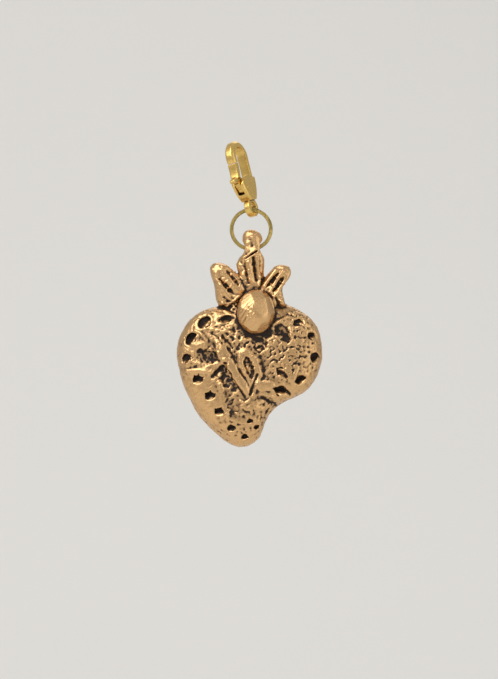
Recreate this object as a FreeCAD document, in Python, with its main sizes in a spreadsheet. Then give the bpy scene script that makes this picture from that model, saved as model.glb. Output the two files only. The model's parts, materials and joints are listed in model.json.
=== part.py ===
import FreeCAD, Part
import math
import os
from types import SimpleNamespace

import Sketcher
from FreeCAD import Placement, Rotation, Vector

# A cast bronze heart charm on a brass jump ring, hung from a small lobster-claw clasp.
# Millimetres. +X is to the right, +Y to the back, +Z up. The origin is the centre of the hook's inner arc,
# where whatever carries the charm lies.

# Driving dimensions
SIZES = {
    # Clasp hook: a C-shaped band
    "hook_inner_radius": 1.9,
    "hook_band": 1.25,
    "hook_width": 1.9,
    "hook_edge": 0.4,
    # Clasp eye
    "eye_drop": 10.0,
    "eye_setback": 0.4,
    "eye_outer_radius": 1.8,
    "eye_hole_radius": 1.05,
    "eye_width": 1.2,
    # Clasp cheeks, which hold the lever between them
    "cheek_width": 2.6,
    "cheek_wall": 0.65,
    "cheek_edge": 0.35,
    # Lever, its pin and its spring
    "lever_side_gap": 0.06,
    "lever_tip_gap": 0.07,
    "gate_width": 1.7,
    "hub_radius": 0.95,
    "hub_floor_gap": 0.25,
    "nub_reach": 1.5,
    "nub_height": 1.0,
    "nub_edge": 0.17,
    "pin_radius": 0.42,
    "pin_running_gap": 0.04,
    "pin_stand": 0.06,
    "spring_thickness": 0.18,
    "spring_width": 1.0,
    "spring_gap": 0.04,
    # Jump ring
    "ring_radius": 3.77,
    "wire_radius": 0.37,
    "wire_gap": 0.1,
    "ring_cut": 0.2,
    # Bail stem, measured from the ring's lowest point
    "bail_gap": 0.12,
    "stem_top": 3.6,
    "stem_sink": 0.3,
    "stem_half_width": 2.05,
    "stem_half_depth": 1.85,
    # Heart cushion
    "heart_top_drop": 10.2,
    "heart_half_width": 13.95,
    "heart_half_height": 14.0,
    "heart_depth": 6.4,
    "heart_setback": 3.1,
    # Boss
    "boss_half_width": 3.65,
    "boss_half_height": 4.35,
    "boss_half_depth": 3.3,
    "boss_sink": 2.0,
    "boss_offset": 0.83,
    "boss_stand": 0.7,
    # Leaves
    "leaf_depth": 3.0,
    "leaf_setback": 1.1,
    "left_leaf_length": 7.8,
    "left_leaf_width": 5.2,
    "left_leaf_offset": 2.4,
    "left_leaf_rise": 1.2,
    "right_leaf_length": 6.8,
    "right_leaf_width": 3.9,
    "right_leaf_offset": 3.2,
    "right_leaf_rise": 0.8,
    "groove_half_width": 0.45,
    "groove_depth": 0.6,
    # Relief on the heart's front
    "relief_thickness": 1.8,
    "raised_height": 0.42,
    "sunk_depth": 0.42,
    # Pits
    "pit_radius": 1.0,
}

# Angles in degrees
CLASP_LEAN = 15.0
CLASP_TURN = 28.0
HOOK_TIP_OUTER = 200.0
HOOK_TIP_INNER = 211.0
HUB_FRONT = 198.0
HUB_BACK = 35.0
RING_CUT_FROM_TOP = 18.0
LEFT_LEAF_LEAN = 39.7
RIGHT_LEAF_LEAN = -37.6
FULL_TURN = 360.0
QUARTER_TURN = 90.0
PIT_TILT = 24.0
# A pit's tool is this many of its radii long
PIT_LENGTH_SHARE = 3
# The ring's wire is drawn with this many sides, which lie within a hundredth of a millimetre of round
WIRE_SIDES = 16
OVAL_SIDES = 24
LEAF_SIDES = 28
HEART_SIDES = 56
RAISED_SIDES = 22
SUNK_SIDES = 14
GROOVE_SIDES = 12

doc = FreeCAD.newDocument("heart_charm")
sheet = doc.addObject("Spreadsheet::Sheet", "Sizes")
for row, (word, number) in enumerate(SIZES.items(), start=1):
    sheet.set(f"A{row}", word)
    sheet.set(f"B{row}", str(number))
    sheet.setAlias(f"B{row}", word)
doc.recompute()


class Length:
    """A length worked out from the sheet: its number for drawing, and its text for binding."""

    def __init__(self, number, text):
        self.number = number
        self.text = text

    def __add__(self, other):
        return Length(self.number + other.number, f"({self.text} + {other.text})")

    def __sub__(self, other):
        return Length(self.number - other.number, f"({self.text} - {other.text})")

    def __mul__(self, factor):
        return Length(self.number * factor, f"({self.text} * {factor:.9f})")

    def __neg__(self):
        return self * -1


size = SimpleNamespace(**{word: Length(float(sheet.get(word)), f"Sizes.{word}") for word in SIZES})


def bind(thing, lengths):
    """Ties each named property of an object to its length."""
    for name, length in lengths.items():
        thing.setExpression(name, length.text)


def turned(radius, degrees):
    """A point at a radius and an angle from the across axis."""
    angle = math.radians(degrees)
    return radius * math.cos(angle), radius * math.sin(angle)


def new_body(label):
    body = doc.addObject("PartDesign::Body", label)
    body.Label = label
    return body


def sketch_in(body, name, role):
    """A sketch on one of the body's own origin planes."""
    plane = [feature for feature in body.Origin.OriginFeatures if feature.Role == role][0]
    sketch = body.newObject("Sketcher::SketchObject", name)
    sketch.AttachmentSupport = (plane, [""])
    sketch.MapMode = "FlatFace"
    return sketch


def pin_point(sketch, geometry, end, across, up):
    """Holds one end of a curve at its distances from the sketch's origin."""
    for kind, length in (("DistanceX", across), ("DistanceY", up)):
        index = sketch.addConstraint(Sketcher.Constraint(kind, -1, 1, geometry, end, length.number))
        sketch.setExpression(f"Constraints[{index}]", length.text)


def hold_radius(sketch, geometry, radius):
    index = sketch.addConstraint(Sketcher.Constraint("Radius", geometry, radius.number))
    sketch.setExpression(f"Constraints[{index}]", radius.text)


def add_circle(sketch, across, up, radius):
    centre = Vector(across.number, up.number, 0)
    circle = sketch.addGeometry(Part.Circle(centre, Vector(0, 0, 1), radius.number), False)
    pin_point(sketch, circle, 3, across, up)
    hold_radius(sketch, circle, radius)


def add_outline(sketch, corners, arcs):
    """Joins the corners in a closed outline.

    arcs holds, by the number of the corner that a side leaves, the side's radius and which way it bulges:
    1 to the right of the way round, -1 to the left, and 2 or -2 where the arc is more than a half circle.
    """
    points = [Vector(across.number, up.number, 0) for across, up in corners]
    ends = []
    for number, start in enumerate(points):
        finish = points[(number + 1) % len(points)]
        if number in arcs:
            radius, bulge = arcs[number]
            chord = finish - start
            reach = math.sqrt(max(radius.number**2 - (chord.Length / 2) ** 2, 0))
            rise = radius.number + reach if abs(bulge) == 2 else radius.number - reach
            side = Vector(chord.y, -chord.x, 0).normalize() * math.copysign(rise, bulge)
            curve = Part.Arc(start, (start + finish) / 2 + side, finish)
        else:
            curve = Part.LineSegment(start, finish)
        geometry = sketch.addGeometry(curve, False)
        first = 1 if sketch.getPoint(geometry, 1).isEqual(start, Part.Precision.confusion()) else 2
        ends.append((geometry, first, 3 - first))
    for number, (geometry, first, last) in enumerate(ends):
        after, after_first, _ = ends[(number + 1) % len(ends)]
        sketch.addConstraint(Sketcher.Constraint("Coincident", geometry, last, after, after_first))
        pin_point(sketch, geometry, first, *corners[number])
    for number, (radius, _) in arcs.items():
        hold_radius(sketch, ends[number][0], radius)


def pad_both_ways(body, sketch, name, width):
    pad = body.newObject("PartDesign::Pad", name)
    pad.Profile = sketch
    pad.SideType = "Symmetric"
    bind(pad, {"Length": width})
    return pad


def cut_both_ways(body, sketch, name):
    pocket = body.newObject("PartDesign::Pocket", name)
    pocket.Profile = sketch
    pocket.SideType = "Symmetric"
    pocket.Type = "ThroughAll"
    return pocket


def ease_edges(body, name, base, width, chosen):
    """Chamfers the base's edges for which chosen(edge) is true."""
    doc.recompute()
    edges = [f"Edge{i}" for i, edge in enumerate(base.Shape.Edges, start=1) if chosen(edge)]
    chamfer = body.newObject("PartDesign::Chamfer", name)
    chamfer.Base = (base, edges)
    bind(chamfer, {"Size": width})
    return chamfer


# Clasp, drawn from its side in its own frame: across is to the back, up is along the clasp,
# and the centre of the hook's inner arc is at zero.
zero = size.hook_band * 0
hook_outer_radius = size.hook_inner_radius + size.hook_band


def claw_point(across_share, drop_share):
    """A point of the clasp's side in shares of the hook's outer radius and the drop to the eye."""
    return hook_outer_radius * across_share, -size.eye_drop * drop_share


PIN_SHARES = (-0.317, 0.61)
pin_centre = claw_point(*PIN_SHARES)
slot_width = size.cheek_width - size.cheek_wall * 2
lever_width = slot_width - size.lever_side_gap * 2
eye_centre = (size.eye_setback, -size.eye_drop)
hook_tip_outer = turned(hook_outer_radius, HOOK_TIP_OUTER)
hook_tip_inner = turned(size.hook_inner_radius, HOOK_TIP_INNER)

clasp_rotation = Rotation(Vector(0, 1, 0), -CLASP_LEAN) * Rotation(Vector(0, 0, 1), -CLASP_TURN)
clasp_place = Placement(Vector(0, 0, 0), clasp_rotation)


def make_clasp_body():
    body = new_body("clasp_body")

    # Cheeks: a solid teardrop between the spine and the front, down to the eye
    cheeks = sketch_in(body, "cheek_side", "YZ_Plane")
    cheek_corner_shares = [
        (-0.78, 0.48),
        (-0.90, 0.54),
        (-0.27, 0.86),
        (0.50, 0.86),
        (0.95, 0.42),
        (0.55, 0.42),
    ]
    corners = [claw_point(*shares) for shares in cheek_corner_shares]
    arcs = {1: (hook_outer_radius * 2.2, 1), 3: (hook_outer_radius * 2.4, 1), 5: (hook_outer_radius, 1)}
    add_outline(cheeks, corners, arcs)
    cheek_pad = pad_both_ways(body, cheeks, "cheek_pad", size.cheek_width)

    # Hook: up the spine, over the top and down to a slanted tip at the front
    hook = sketch_in(body, "hook_side", "YZ_Plane")
    spine_outer = claw_point(0.93, 0.47)
    spine_inner = claw_point(0.55, 0.47)
    corners = [
        hook_tip_outer,
        hook_tip_inner,
        (size.hook_inner_radius, zero),
        spine_inner,
        spine_outer,
        (hook_outer_radius, zero),
    ]
    add_outline(hook, corners, {1: (size.hook_inner_radius, -2), 5: (hook_outer_radius, 2)})
    pad_both_ways(body, hook, "hook_pad", size.hook_width)

    # Eye
    eye = sketch_in(body, "eye_side", "YZ_Plane")
    add_circle(eye, *eye_centre, size.eye_outer_radius)
    pad_both_ways(body, eye, "eye_pad", size.eye_width)

    # Eased outer edges of the band and the cheeks
    def on_hook_outer_edge(edge):
        curve = edge.Curve
        return (
            isinstance(curve, Part.Circle)
            and abs(curve.Axis.x) > 0.99
            and math.isclose(curve.Radius, hook_outer_radius.number)
            and math.isclose(abs(edge.CenterOfMass.x), size.hook_width.number / 2)
        )

    eased = ease_edges(body, "hook_easing", body.Tip, size.hook_edge, on_hook_outer_edge)

    def on_cheek_flank(edge):
        curve = edge.Curve
        return (
            isinstance(curve, Part.Circle)
            and abs(curve.Axis.x) > 0.99
            and curve.Radius > hook_outer_radius.number * 2
            and math.isclose(abs(edge.CenterOfMass.x), size.cheek_width.number / 2)
        )

    ease_edges(body, "cheek_easing", eased, size.cheek_edge, on_cheek_flank)

    # Openings: the eye's hole, the slot for the lever, and the hole for the pin
    eye_hole = sketch_in(body, "eye_hole_side", "YZ_Plane")
    add_circle(eye_hole, *eye_centre, size.eye_hole_radius)
    cut_both_ways(body, eye_hole, "eye_hole")

    slot = sketch_in(body, "slot_side", "YZ_Plane")
    slot_cut = body.newObject("PartDesign::Pocket", "lever_slot")
    add_outline(slot, slot_corners, {})
    slot_cut.Profile = slot
    slot_cut.SideType = "Symmetric"
    bind(slot_cut, {"Length": slot_width})

    pin_hole = sketch_in(body, "pin_hole_side", "YZ_Plane")
    add_circle(pin_hole, *pin_centre, size.pin_radius)
    cut_both_ways(body, pin_hole, "pin_hole")
    body.Placement = clasp_place
    return body


# The slot's side: open to the front and to the top, with a back wall that the spring lies on
slot_floor = pin_centre[1] - size.hub_radius - size.hub_floor_gap
slot_front = claw_point(-1.6, 0)[0]
slot_back_low = claw_point(0.095, 0)[0]
slot_back_high = claw_point(0.35, 0)[0]
slot_back_bend = claw_point(0, 0.55)[1]
slot_top = claw_point(0, 0.36)[1]
slot_corners = [
    (slot_front, slot_floor),
    (slot_back_low, slot_floor),
    (slot_back_high, slot_back_bend),
    (slot_back_high, slot_top),
    (slot_front, slot_top),
]

# The lever's tip lies along the hook's slanted tip, one gap inside it
tip_slope = math.atan2(
    hook_tip_inner[1].number - hook_tip_outer[1].number,
    hook_tip_inner[0].number - hook_tip_outer[0].number,
)
tip_shift = (size.lever_tip_gap * math.sin(tip_slope), -size.lever_tip_gap * math.cos(tip_slope))
gate_tip_outer = (hook_tip_outer[0] + tip_shift[0], hook_tip_outer[1] + tip_shift[1])
gate_tip_inner = (hook_tip_inner[0] + tip_shift[0], hook_tip_inner[1] + tip_shift[1])


def round_hub(degrees):
    across, up = turned(size.hub_radius, degrees)
    return pin_centre[0] + across, pin_centre[1] + up


hub_front = round_hub(HUB_FRONT)
hub_back = round_hub(HUB_BACK)
lever_shoulder = claw_point(-0.40, 0.42)


def make_clasp_lever():
    body = new_body("clasp_lever")

    # Gate arm, as wide as the hook's band looks from the front
    arm = sketch_in(body, "gate_side", "YZ_Plane")
    arm_foot_outer = claw_point(-1.02, 0.40)
    arm_foot_inner = claw_point(-0.68, 0.40)
    corners = [gate_tip_outer, arm_foot_outer, arm_foot_inner, gate_tip_inner]
    add_outline(arm, corners, {0: (hook_outer_radius * 2.6, -1), 2: (hook_outer_radius * 2.6, 1)})
    pad_both_ways(body, arm, "gate_pad", size.gate_width)

    # Hub plate with the thumb nub, thin enough to turn between the cheeks
    plate = sketch_in(body, "hub_side", "YZ_Plane")
    nub_root = claw_point(-1.0, 0.36)
    nub_top = (nub_root[0], -size.eye_drop * 0.39)
    nub_tip_top = (nub_root[0] - size.nub_reach * 0.85, nub_top[1] - size.nub_height * 0.25)
    nub_tip = (nub_root[0] - size.nub_reach, nub_top[1] - size.nub_height * 0.7)
    nub_tip_low = (nub_root[0] - size.nub_reach * 0.7, nub_top[1] - size.nub_height * 1.1)
    nub_low = (nub_root[0] + size.nub_reach * 0.1, nub_top[1] - size.nub_height * 1.1)
    corners = [
        nub_root,
        nub_top,
        nub_tip_top,
        nub_tip,
        nub_tip_low,
        nub_low,
        hub_front,
        hub_back,
        lever_shoulder,
        claw_point(-0.68, 0.34),
    ]
    add_outline(plate, corners, {6: (size.hub_radius, 2)})
    plate_pad = pad_both_ways(body, plate, "hub_pad", lever_width)

    def on_nub(edge):
        middle = edge.CenterOfMass
        flat = edge.BoundBox.XLength < size.lever_side_gap.number
        return flat and middle.y < nub_tip_low[0].number + size.nub_reach.number * 0.02

    def across_nub(edge):
        middle = edge.CenterOfMass
        along = edge.BoundBox.XLength > lever_width.number * 0.99
        return along and middle.y < nub_tip_low[0].number + size.nub_reach.number * 0.02

    ease_edges(body, "nub_easing", plate_pad, size.nub_edge, lambda edge: on_nub(edge) or across_nub(edge))

    hole = sketch_in(body, "lever_hole_side", "YZ_Plane")
    add_circle(hole, *pin_centre, size.pin_radius + size.pin_running_gap)
    cut_both_ways(body, hole, "lever_hole")
    body.Placement = clasp_place
    return body


def make_clasp_pin():
    body = new_body("clasp_pivot_pin")
    sketch = sketch_in(body, "pin_side", "YZ_Plane")
    add_circle(sketch, *pin_centre, size.pin_radius)
    pad_both_ways(body, sketch, "pin_pad", size.cheek_width + size.pin_stand * 2)
    body.Placement = clasp_place
    return body


def make_clasp_spring():
    """A bent strip: one leg on the slot's back wall, the other past the hub and against the lever's back."""
    body = new_body("clasp_spring")
    run_across = (lever_shoulder[0] - hub_back[0]).number
    run_up = (lever_shoulder[1] - hub_back[1]).number
    run = math.hypot(run_across, run_up)
    out = (run_up / run, -run_across / run)

    def beside_lever(share, away):
        """A point along the lever's sloping back, a distance away from it."""
        across = hub_back[0] + (lever_shoulder[0] - hub_back[0]) * share + away * out[0]
        up = hub_back[1] + (lever_shoulder[1] - hub_back[1]) * share + away * out[1]
        return across, up

    thick = size.spring_thickness
    near = size.spring_gap
    wall_top = (slot_back_high, claw_point(0, 0.44)[1])
    wall_bend = (slot_back_high, slot_back_bend)
    corner = (slot_back_low, slot_floor)
    knee = beside_lever(-0.2, near)
    foot = corner[1] + thick
    corners = [
        wall_top,
        (wall_top[0] - thick, wall_top[1]),
        (wall_bend[0] - thick, wall_bend[1] - thick * 0.2),
        (corner[0], foot + thick * 0.6),
        (knee[0] + thick, foot + thick * 0.6),
        (knee[0] + thick, knee[1] + thick * 0.5),
        beside_lever(0.80, near + thick),
        beside_lever(0.80, near),
        knee,
        (knee[0], foot),
        (knee[0] + thick, corner[1]),
        corner,
        wall_bend,
    ]
    sketch = sketch_in(body, "spring_side", "YZ_Plane")
    add_outline(sketch, corners, {})
    pad_both_ways(body, sketch, "spring_pad", size.spring_width)
    body.Placement = clasp_place
    return body


# Jump ring: its wire hangs on the lower wall of the eye's hole, straight below the eye
eye_point = clasp_rotation.multVec(Vector(0, eye_centre[0].number, eye_centre[1].number))
wire_drop = size.eye_hole_radius - size.wire_radius - size.wire_gap * 3
ring_centre = eye_point - Vector(0, 0, wire_drop.number + size.ring_radius.number)
bail_point = ring_centre - Vector(0, 0, size.ring_radius.number)


def make_jump_ring():
    body = new_body("jump_ring")
    section = sketch_in(body, "wire_section", "XY_Plane")
    corners = []
    for side in range(WIRE_SIDES):
        across, up = turned(size.wire_radius, FULL_TURN * (side + 0.5) / WIRE_SIDES)
        corners.append((size.ring_radius + across, up))
    add_outline(section, corners, {})
    turn = body.newObject("PartDesign::Revolution", "wire_turn")
    turn.Profile = section
    turn.ReferenceAxis = (section, ["V_Axis"])
    cut_angle = math.degrees(size.ring_cut.number / size.ring_radius.number)
    turn.Angle = FULL_TURN - cut_angle
    start_angle = QUARTER_TURN - RING_CUT_FROM_TOP - cut_angle / 2
    body.Placement = Placement(ring_centre, Rotation(Vector(0, 1, 0), -start_angle))
    return body


# Heart casting, in its own frame: the hinge of the bail is at zero, +X right, +Z up, the front to -Y
UPRIGHT = Rotation(Vector(1, 0, 0), QUARTER_TURN)
heart_middle = -(size.heart_top_drop + size.heart_half_height)
stem_drop = size.heart_top_drop + size.stem_sink


def smooth_points(points, sides):
    """Points in equal steps along the smooth closed curve through the given ones."""
    curve = Part.BSplineCurve()
    curve.interpolate([Vector(across, up, 0) for across, up in points], PeriodicFlag=True)
    return [(point.x, point.y) for point in curve.discretize(sides + 1)[:-1]]


def outline(name, points, place, rotation):
    """A closed outline of short straight sides, drawn flat and then placed."""
    drawn = doc.addObject("Part::Polygon", name)
    drawn.Nodes = [Vector(across, up, 0) for across, up in points]
    drawn.Close = True
    drawn.Placement = Placement(place, rotation)
    return drawn


def loft(name, sections):
    made = doc.addObject("Part::Loft", name)
    made.Sections = sections
    made.Solid = True
    made.Ruled = True
    return made


def pillow(name, points, centre, back, depth, section_shares):
    """A cushion lofted from its back to its front.

    section_shares gives, for each section, its place in the depth and how far it is drawn in to the centre.
    """
    sections = []
    for number, (depth_share, spread_share) in enumerate(section_shares):
        drawn = [
            (centre[0] + (across - centre[0]) * spread_share, centre[1] + (up - centre[1]) * spread_share)
            for across, up in points
        ]
        level = back - depth * depth_share
        section = outline(f"{name}_section_{number}", drawn, Vector(0, level.number, 0), UPRIGHT)
        bind(section, {".Placement.Base.y": level})
        sections.append(section)
    return loft(name, sections)


def oval_outline(name, half_across, half_up, place, rotation):
    points = []
    for side in range(OVAL_SIDES):
        angle = math.radians(FULL_TURN * side / OVAL_SIDES)
        points.append((half_across * math.cos(angle), half_up * math.sin(angle)))
    return outline(name, points, place, rotation)


def make_boss(centre):
    """An egg, drawn as ovals that grow from its buried back to its waist and close at its front."""
    sections = []
    for number, latitude in enumerate(BOSS_LATITUDES):
        swell = math.cos(math.radians(latitude))
        depth = centre[1] - size.boss_half_depth.number * math.sin(math.radians(latitude))
        half_width = size.boss_half_width.number * swell
        half_height = size.boss_half_height.number * swell
        place = Vector(centre[0], depth, centre[2])
        sections.append(oval_outline(f"boss_section_{number}", half_width, half_height, place, UPRIGHT))
    return loft("boss", sections)


def make_pit(name, surface, radius, turn):
    """A round tool's slanting dent: an arched step at its deep side, and nothing at the other."""
    pit = doc.addObject("Part::Cylinder", name)
    bind(pit, {"Radius": radius, "Height": radius * PIT_LENGTH_SHARE})
    sunk = radius.number * math.sin(math.radians(PIT_TILT))
    rotation = Rotation(Vector(0, 1, 0), turn) * Rotation(Vector(1, 0, 0), QUARTER_TURN - PIT_TILT)
    pit.Placement = Placement(surface + Vector(0, sunk, 0), rotation)
    return pit


def make_groove(name, centre, half_length, turn, floor):
    """The tool for a furrow: a narrow pointed oval, cut in from the front to its floor."""
    across_x, across_z = turned(size.groove_half_width.number, -turn)
    along_x, along_z = turned(half_length.number, QUARTER_TURN - turn)
    points = []
    for side in range(GROOVE_SIDES):
        wide, long = turned(1, FULL_TURN * side / GROOVE_SIDES)
        across = centre[0] + across_x * wide + along_x * long
        up = centre[1] + across_z * wide + along_z * long
        points.append((across, up))
    return pillow(name, points, centre, floor, size.relief_thickness, SUNK_SECTION_SHARES)


HEART_OUTLINE_SHARES = [
    (0.00, 1.02),
    (-0.46, 0.945),
    (-0.84, 0.765),
    (-1.03, 0.34),
    (-0.945, -0.115),
    (-0.775, -0.48),
    (-0.47, -0.82),
    (-0.115, -1.00),
    (0.115, -0.87),
    (0.205, -0.63),
    (0.42, -0.40),
    (0.75, -0.235),
    (0.97, 0.19),
    (0.88, 0.70),
    (0.57, 0.935),
]
HEART_SECTION_SHARES = [
    (0.00, 0.89),
    (0.05, 0.945),
    (0.14, 0.985),
    (0.28, 1.00),
    (0.44, 0.995),
    (0.59, 0.97),
    (0.72, 0.925),
    (0.83, 0.86),
    (0.92, 0.76),
    (0.97, 0.66),
    (1.00, 0.50),
]
LEAF_SECTION_SHARES = [(0.0, 0.92), (0.25, 1.0), (0.6, 0.97), (0.85, 0.86), (1.0, 0.66)]
LEFT_LEAF_SHARES = [
    (0.01, 1.02),
    (0.33, 0.84),
    (0.43, 0.55),
    (0.50, 0.20),
    (0.25, -0.21),
    (-0.39, -0.21),
    (-0.79, 0.05),
    (-0.75, 0.28),
    (-0.46, 0.57),
    (-0.25, 0.93),
]
RIGHT_LEAF_SHARES = [
    (-0.17, 1.06),
    (-0.62, 0.88),
    (-0.72, 0.53),
    (-0.68, 0.12),
    (-0.45, -0.30),
    (0.34, -0.25),
    (0.97, 0.03),
    (0.65, 0.24),
    (0.29, 0.44),
    (0.25, 0.75),
    (0.18, 0.96),
]
# Stem sections from the top down: height in shares of the stem's top, or of its drop where it is negative,
# then the centre's offset, the half width and the half depth in shares of the stem's own
STEM_SECTION_SHARES = [
    (1.00, 0.04, 0.30, 0.30),
    (0.94, 0.05, 0.58, 0.58),
    (0.82, 0.08, 0.79, 0.80),
    (0.60, 0.12, 0.92, 0.94),
    (0.20, 0.14, 0.98, 1.00),
    (-0.11, 0.13, 1.08, 1.00),
    (-0.28, -0.10, 1.30, 0.97),
    (-0.42, 0.00, 1.20, 0.95),
    (-0.60, -0.05, 1.27, 0.95),
    (-1.00, 0.10, 1.00, 0.95),
]
# Pits: place in shares of the heart's half width and half height, radius in shares of the pit's,
# and the turn of the deep side from straight up
PIT_SHARES = [
    (-0.634, 0.703, 1.30, -20),
    (-0.817, 0.479, 1.15, -45),
    (-0.887, 0.198, 1.05, -60),
    (-0.731, -0.081, 0.90, -60),
    (-0.564, -0.298, 0.88, -60),
    (-0.437, -0.516, 0.80, -50),
    (-0.275, -0.740, 0.70, -40),
    (-0.088, -0.868, 0.65, -20),
    (-0.008, -0.642, 0.50, -30),
    (0.090, -0.727, 0.50, -30),
    (0.220, -0.530, 0.55, 30),
    (0.427, -0.235, 1.15, -60),
    (0.693, -0.081, 1.00, -40),
    (0.890, 0.212, 0.95, -20),
    (0.834, 0.520, 0.95, 0),
    (0.640, 0.703, 0.90, -10),
    (0.412, 0.045, 0.95, -50),
    (-0.347, 0.745, 0.95, 10),
]
# Relief of the heart's front: for each shape, the share of the heart's depth at which the cushion's front
# lies there, and its outline in shares of the heart's half width and half height
RAISED_SHARES = [
    (
        1.0,
        [
            (-0.437, 0.518), (-0.506, 0.422), (-0.465, 0.244), (-0.375, 0.065),
            (-0.251, -0.113), (-0.072, -0.299), (0.004, -0.251), (-0.106, -0.045),
            (-0.216, 0.148), (-0.306, 0.299), (-0.361, 0.463),
        ],
    ),
    (
        1.0,
        [
            (-0.154, 0.388), (-0.216, 0.312), (-0.196, 0.175), (-0.127, 0.024),
            (-0.051, -0.141), (0.011, -0.223), (0.094, -0.155), (0.163, -0.031),
            (0.156, 0.12), (0.101, 0.271), (-0.017, 0.367),
        ],
    ),
    (
        0.96,
        [
            (0.09, -0.072), (0.028, -0.155), (0.076, -0.227), (0.19, -0.232),
            (0.28, -0.225), (0.345, -0.18), (0.335, -0.1), (0.218, -0.06),
        ],
    ),
    (
        0.96,
        [
            (-0.154, -0.381), (-0.182, -0.45), (-0.058, -0.49), (0.07, -0.49),
            (0.135, -0.44), (0.12, -0.365), (0.0, -0.34),
        ],
    ),
]
SUNK_SHARES = [
    (
        1.0,
        [
            (-0.072, 0.251), (-0.113, 0.175), (-0.065, 0.038), (0.004, -0.058),
            (0.039, 0.051), (-0.01, 0.189),
        ],
    ),
    (
        0.99,
        [
            (-0.485, 0.12), (-0.52, 0.024), (-0.444, -0.072), (-0.327, -0.182),
            (-0.251, -0.127), (-0.327, 0.01), (-0.382, 0.12),
        ],
    ),
    (
        1.0,
        [
            (0.025, 0.498), (0.018, 0.367), (0.08, 0.278), (0.176, 0.312),
            (0.232, 0.429), (0.149, 0.505),
        ],
    ),
    (
        0.97,
        [
            (-0.775, 0.354), (-0.795, 0.23), (-0.678, 0.148), (-0.52, 0.161),
            (-0.472, 0.278), (-0.623, 0.36),
        ],
    ),
    (
        0.96,
        [
            (0.328, 0.718), (0.349, 0.546), (0.473, 0.443), (0.556, 0.553),
            (0.459, 0.731),
        ],
    ),
]
# Relief sections from the back to the front, as the cushion's: a raised shape closes to its top,
# and a hollow's tool opens from its floor
RAISED_SECTION_SHARES = [(0.0, 1.12), (0.7, 1.06), (1.0, 0.72)]
SUNK_SECTION_SHARES = [(0.0, 0.62), (0.2, 0.98), (1.0, 1.30)]
# Angles round the boss, from its buried back to its front, in degrees
BOSS_LATITUDES = (-48, -20, 0, 18, 35, 51, 65, 78)
# Leaf grooves: across and along in shares of the leaf, half length in shares of its length, and own turn
LEFT_GROOVE_SHARES = [(-0.14, 0.38, 0.32, -4), (0.26, 0.46, 0.30, 3)]
RIGHT_GROOVE_SHARES = [(-0.36, 0.46, 0.30, 3), (0.00, 0.48, 0.30, -2)]


def heart_points(shares, sides):
    """A smooth closed outline through places in shares of the heart's half width and half height."""
    points = [
        (across * size.heart_half_width.number, up * size.heart_half_height.number + heart_middle.number)
        for across, up in shares
    ]
    return smooth_points(points, sides)


def make_relief(name, shares, sides, back, section_shares):
    """A raised shape, or the tool for a hollow, with its own middle."""
    points = heart_points(shares, sides)
    middle = [sum(line) / len(points) for line in zip(*points)]
    return pillow(name, points, middle, back, size.relief_thickness, section_shares)


def front_of(solid, across, up):
    """The depth at which a solid's front surface lies behind a point of the front view."""
    far = size.heart_depth.number * 2
    ray = Part.makeLine(Vector(across, -far, up), Vector(across, far, up))
    return solid.Shape.common(ray).BoundBox.YMin


def leaf_point(base, lean, across, along):
    angle = math.radians(lean)
    return (
        base[0] + across * math.cos(angle) - along * math.sin(angle),
        base[1] + across * math.sin(angle) + along * math.cos(angle),
    )


def make_leaf(name, base, lean, width, length, outline_shares, groove_shares):
    """A ribbed leaf, and the grooves that leave its rib and its rims standing."""
    points = [
        leaf_point(base, lean, across * width.number, along * length.number)
        for across, along in outline_shares
    ]
    points = smooth_points(points, LEAF_SIDES)
    middle = leaf_point(base, lean, 0, length.number * 0.45)
    leaf = pillow(name, points, middle, size.leaf_setback, size.leaf_depth, LEAF_SECTION_SHARES)
    floor = size.leaf_setback - size.leaf_depth + size.groove_depth
    grooves = []
    for number, (across, along, half_length, turn) in enumerate(groove_shares):
        place = leaf_point(base, lean, across * width.number, along * length.number)
        groove = f"{name}_groove_{number}"
        grooves.append(make_groove(groove, place, length * half_length, turn - lean, floor))
    return leaf, grooves


def make_stem():
    sections = []
    for number, (height_share, offset_share, width_share, depth_share) in enumerate(STEM_SECTION_SHARES):
        reach = size.stem_top if height_share > 0 else stem_drop
        height = reach * height_share
        offset = size.stem_half_width * offset_share
        half_width = size.stem_half_width.number * width_share
        half_depth = size.stem_half_depth.number * depth_share
        place = Vector(offset.number, 0, height.number)
        section = oval_outline(f"stem_section_{number}", half_width, half_depth, place, Rotation())
        bind(section, {".Placement.Base.x": offset, ".Placement.Base.z": height})
        sections.append(section)
    return loft("stem", sections)


def make_bail_hole():
    """A straight throat, opened to both sides by cones that clear the curved wire at every angle of swing."""
    body = new_body("bail_hole")
    sketch = sketch_in(body, "hole_profile", "XY_Plane")
    flare = size.ring_radius - size.wire_radius - size.bail_gap
    reach = size.stem_half_width * 1.35
    mouth = size.ring_radius - Length(
        math.sqrt(flare.number**2 - reach.number**2), f"sqrt({flare.text}^2 - {reach.text}^2)"
    )
    half_throat = size.wire_radius
    throat = size.wire_radius + size.bail_gap * 1.5
    corners = [
        (-reach, zero),
        (reach, zero),
        (reach, mouth),
        (half_throat, throat),
        (-half_throat, throat),
        (-reach, mouth),
    ]
    add_outline(sketch, corners, {})
    turn = body.newObject("PartDesign::Revolution", "hole_turn")
    turn.Profile = sketch
    turn.ReferenceAxis = (sketch, ["H_Axis"])
    turn.Angle = FULL_TURN
    return body


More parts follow.
